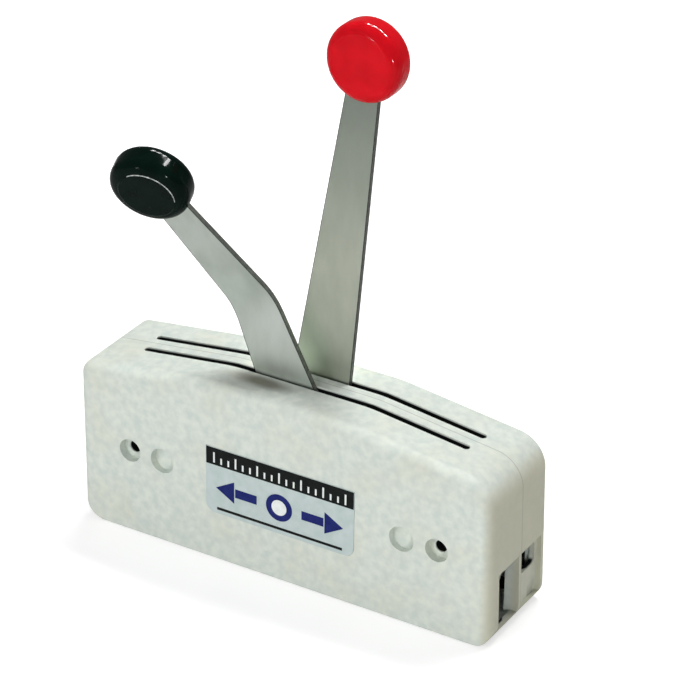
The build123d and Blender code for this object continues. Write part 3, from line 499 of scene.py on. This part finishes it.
# %% Film and inks
SCREEN_PRINT = dict(roughness=0.45, patch=3 * MM, grain=0.4 * MM, depth=0.005 * MM)
film = finish("printed_label_film", "#B4C3C1", "#C0CCCB", roughness=0.38, patch=5 * MM,
              grain=0.5 * MM, depth=0.004 * MM, specular=0.3)
ink_black = finish("screen_print_black", "#0A0E0D", "#121716", specular=0.15, **SCREEN_PRINT)
ink_blue = finish("screen_print_blue", "#171F60", "#1E286C", specular=0.15, **SCREEN_PRINT)
ink_white = finish("screen_print_white", "#DDE3E1", "#EAEEEC", specular=0.3, **SCREEN_PRINT)
dress(film, "label_plate")

# %% [markdown]
# The shapes of the print are flat rectangles and polygons, placed in
# millimetres from the label's middle. Solidify gives them the ink's thickness.
# Shapes of one colour don't overlap, because overlapping faces flicker.

# %% Tools that print the label
INK = 0.05 * MM
label_low, label_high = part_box("label_plate")
LABEL_MIDDLE = ((label_low[0] + label_high[0]) / 2, (label_low[2] + label_high[2]) / 2)
LABEL_FACE = label_low[1]
LABEL_LENGTH = (label_high[0] - label_low[0]) / MM
FACING = Matrix.Rotation(math.pi / 2, 4, "X")


def bar(mesh, x, z, width, height):
    """A flat rectangle round (x, z), stretched from a square of size 1."""
    size = Matrix.Diagonal((width * MM, height * MM, 1, 1))
    place = Matrix.Translation((x * MM, 0, z * MM)) @ FACING @ size
    bmesh.ops.create_grid(mesh, x_segments=1, y_segments=1, size=0.5, matrix=place)


def polygon(mesh, x, z, radius, corners, turn=0):
    """A flat regular polygon whose first corner points up before its turn."""
    turned = Matrix.Rotation(math.radians(turn), 4, "Y")
    place = Matrix.Translation((x * MM, 0, z * MM)) @ turned @ FACING
    bmesh.ops.create_circle(mesh, cap_ends=True, segments=corners, radius=radius * MM,
                            matrix=place)


def lay_print(name, mesh, ink, layer):
    """Give flat shapes the ink's thickness and lay them on the label, layer by layer."""
    bmesh.ops.solidify(mesh, geom=mesh.faces[:], thickness=INK)
    low = min(v.co.y for v in mesh.verts)
    bmesh.ops.translate(mesh, verts=mesh.verts,
                        vec=(LABEL_MIDDLE[0], LABEL_FACE - layer * INK - low, LABEL_MIDDLE[1]))
    bmesh.ops.recalc_face_normals(mesh, faces=mesh.faces)
    new_piece(name, mesh, "housing", [ink])
    print(name, "laid on the label")


# %% [markdown]
# The band keeps a narrow pale margin at both ends, and every third tick is
# long, as on a ruler. A triangle is the polygon with three corners, and a
# circle is the one with 64.

# %% Bands, ticks and signs
BAND_HEIGHT, BAND_Z, BAND_MARGIN = 9.0, 12.7, 0.2
RULE_Z, RULE_HEIGHT, RULE_MARGIN = -14.6, 1.4, 6
bands = bmesh.new()
bar(bands, 0, BAND_Z, LABEL_LENGTH - 2 * BAND_MARGIN, BAND_HEIGHT)
bar(bands, 0, RULE_Z, LABEL_LENGTH - 2 * RULE_MARGIN, RULE_HEIGHT)
lay_print("label_bands", bands, ink_black, 1)

TICK_PITCH, TICKS_EACH_SIDE, TICK_WIDTH, TICK_MARGIN = 3.9, 9, 0.9, 1.2
LONG_TICK, SHORT_TICK, LONG_EVERY = 5.4, 3.2, 3
ticks = bmesh.new()
for i in range(-TICKS_EACH_SIDE, TICKS_EACH_SIDE + 1):
    height = SHORT_TICK if i % LONG_EVERY else LONG_TICK
    foot = BAND_Z - BAND_HEIGHT / 2 + TICK_MARGIN
    bar(ticks, i * TICK_PITCH, foot + height / 2, TICK_WIDTH, height)
lay_print("label_ticks", ticks, ink_white, 2)

SIGN_Z, HEAD_X, HEAD_SIZE = -3.6, 27.5, 6.6
SHAFT_START, SHAFT_WIDTH, INK_GAP = 12.0, 4.6, 0.5
RING_RADIUS, RING_HOLE, CIRCLE_CORNERS = 7.0, 4.0, 64
shaft_end = HEAD_X - HEAD_SIZE / 2 - INK_GAP
signs = bmesh.new()
for side in (-1, 1):
    polygon(signs, side * HEAD_X, SIGN_Z, HEAD_SIZE, 3, turn=side * 90)
    bar(signs, side * (SHAFT_START + shaft_end) / 2, SIGN_Z, shaft_end - SHAFT_START, SHAFT_WIDTH)
polygon(signs, 0, SIGN_Z, RING_RADIUS, CIRCLE_CORNERS)
lay_print("label_signs", signs, ink_blue, 1)

ring_hole = bmesh.new()
polygon(ring_hole, 0, SIGN_Z, RING_HOLE, CIRCLE_CORNERS)
lay_print("label_ring_hole", ring_hole, ink_white, 2)

# %% [markdown]
# ## Floor and background
# A plain pale floor takes the object's soft shadow. The picture's background
# should be pure white, but more light would burn out the pale housing. So the
# floor itself glows, only where the camera sees it, and more so further out,
# where the lamps' light fades. It lies a hair below the object's underside,
# because faces in one plane flicker.

# %% White paper floor
FLOOR_SIZE, FLOOR_DROP = 8.0, 0.2 * MM
GLOW_NEAR, GLOW_FAR = 0.57, 0.9
GLOW_GROWS_FROM, GLOW_GROWS_TO = 0.15, 0.8
floor_mesh = bmesh.new()
bmesh.ops.create_grid(floor_mesh, x_segments=1, y_segments=1, size=FLOOR_SIZE / 2)
bmesh.ops.translate(floor_mesh, verts=floor_mesh.verts, vec=(0, 0, -FLOOR_DROP))
floor_data = bpy.data.meshes.new("studio_floor")
floor_mesh.to_mesh(floor_data)
floor_mesh.free()
floor = bpy.data.objects.new("studio_floor", floor_data)
bpy.context.collection.objects.link(floor)

paper = finish("white_paper", "#CBCBCB", "#CFCFCF", roughness=0.9, patch=50 * MM,
               grain=1 * MM, depth=0.01 * MM, specular=0.1)
rays = add_node(paper, "ShaderNodeLightPath").outputs
floor_place = add_node(paper, "ShaderNodeTexCoord").outputs["Object"]
far_out = add_node(paper, "ShaderNodeVectorMath", {0: floor_place}, operation="LENGTH")
glow = add_node(paper, "ShaderNodeMapRange",
                {"Value": far_out.outputs["Value"], "From Min": GLOW_GROWS_FROM,
                 "From Max": GLOW_GROWS_TO, "To Min": GLOW_NEAR, "To Max": GLOW_FAR})
glow_seen = add_node(paper, "ShaderNodeMath",
                     {0: rays["Is Camera Ray"], 1: glow.outputs["Result"]},
                     operation="MULTIPLY")
paper_shader = paper.node_tree.nodes["Principled BSDF"]
paper_shader.inputs["Emission Color"].default_value = (1, 1, 1, 1)
paper.node_tree.links.new(glow_seen.outputs[0], paper_shader.inputs["Emission Strength"])
floor_data.materials.append(paper)

# %% [markdown]
# A photograph of a room could surround the object, but its mirror image would
# fill the polished knobs. So the sky is a weak, even light that fills the
# shadows and leaves the resin dark. Only the camera sees it as plain white.

# %% White surroundings
SKY_FILL, SKY_SEEN = 0.22, 1.0
sky = bpy.data.worlds.new("studio_white")
sky.use_nodes = True
bpy.context.scene.world = sky
rays = add_node(sky, "ShaderNodeLightPath").outputs
level = add_node(sky, "ShaderNodeMix", {0: rays["Is Camera Ray"], 2: SKY_FILL, 3: SKY_SEEN},
                 data_type="FLOAT")
background = sky.node_tree.nodes["Background"]
background.inputs["Color"].default_value = (1, 1, 1, 1)
sky.node_tree.links.new(level.outputs[0], background.inputs["Strength"])

# %% [markdown]
# ## Lamps
# Small products are lit by a few large, soft lamps. A long softbox above and
# behind makes the top the lightest side, and lays the levers' shadows in front
# of their feet. Four brighter panes hang before it, which light no matt
# surface and only show in shiny ones, so the knobs mirror a window. A large
# softbox in front lights the label's side, and gives no mirror image. Two
# small cards stand low: the right one reaches into the cable openings, and
# both put a spark on the knobs. Separate lamps can be moved and dimmed one by
# one, which a single picture of a studio can't.

# %% Lamps
MIDDLE = Vector((0, 0, 80)) * MM
WINDOW = (0.05, 0.38, 0.92)
PANES, PANE_PITCH = 4, 0.3


def lamp(name, direction, distance, width, height, watts, shift=0.0):
    """A softbox at a distance from the object in a direction, moved sideways by shift."""
    out = Vector(direction).normalized()
    beside = Vector((0, 0, 1)).cross(out).normalized()
    data = bpy.data.lights.new(name, "AREA")
    data.shape = "RECTANGLE"
    data.size, data.size_y, data.energy = width, height, watts
    softbox = bpy.data.objects.new(name, data)
    softbox.location = MIDDLE + out * distance + beside * shift
    softbox.rotation_euler = out.to_track_quat("Z", "Y").to_euler()
    bpy.context.collection.objects.link(softbox)
    return softbox


lamp("top_softbox", WINDOW, distance=1.3, width=0.9, height=0.2, watts=14)
for i in range(PANES):
    pane = lamp(f"window_pane_{i + 1}", WINDOW, distance=1.28, width=0.14, height=0.24,
                watts=14, shift=PANE_PITCH * (i - (PANES - 1) / 2))
    pane.visible_diffuse = False
front = lamp("front_softbox", (-0.35, -0.80, 0.48), distance=1.7, width=1.2, height=1.0,
             watts=13)
front.visible_glossy = False
lamp("right_card", (0.70, -0.70, 0.10), distance=1.6, width=0.08, height=0.14, watts=7)
lamp("left_card", (-0.28, -0.95, 0.08), distance=1.6, width=0.12, height=0.06, watts=2.5)
print("lamps:", len(bpy.data.lights))

# %% [markdown]
# ## Camera
# A long lens from the front right, a little above the levers' tips, as in the
# photograph of the real object. The small roll and the aim beside
# the housing follow that photograph too.

# %% Camera
VIEW_TURN, VIEW_HEIGHT, VIEW_ROLL = 30.556, 28.449, 0.818
VIEW_DISTANCE, FOCAL_LENGTH, SENSOR_WIDTH = 1.4, 163.06, 36
AIM = Vector((0, -0.030, 0.045))
AIM_RIGHT, AIM_UP = 0.02761, 0.07120
turn = Matrix.Rotation(math.radians(VIEW_TURN), 3, "Z") \
    @ Matrix.Rotation(math.radians(90 - VIEW_HEIGHT), 3, "X") \
    @ Matrix.Rotation(math.radians(VIEW_ROLL), 3, "Z")
stand = AIM + turn @ Vector((AIM_RIGHT, AIM_UP, VIEW_DISTANCE))
camera_data = bpy.data.cameras.new("camera")
camera_data.lens = FOCAL_LENGTH
camera_data.sensor_width = SENSOR_WIDTH
camera = bpy.data.objects.new("camera", camera_data)
camera.matrix_world = Matrix.Translation(stand) @ turn.to_4x4()
bpy.context.collection.objects.link(camera)
bpy.context.scene.camera = camera
bpy.context.scene.view_settings.view_transform = "Standard"
print("camera at", [round(v, 3) for v in stand])
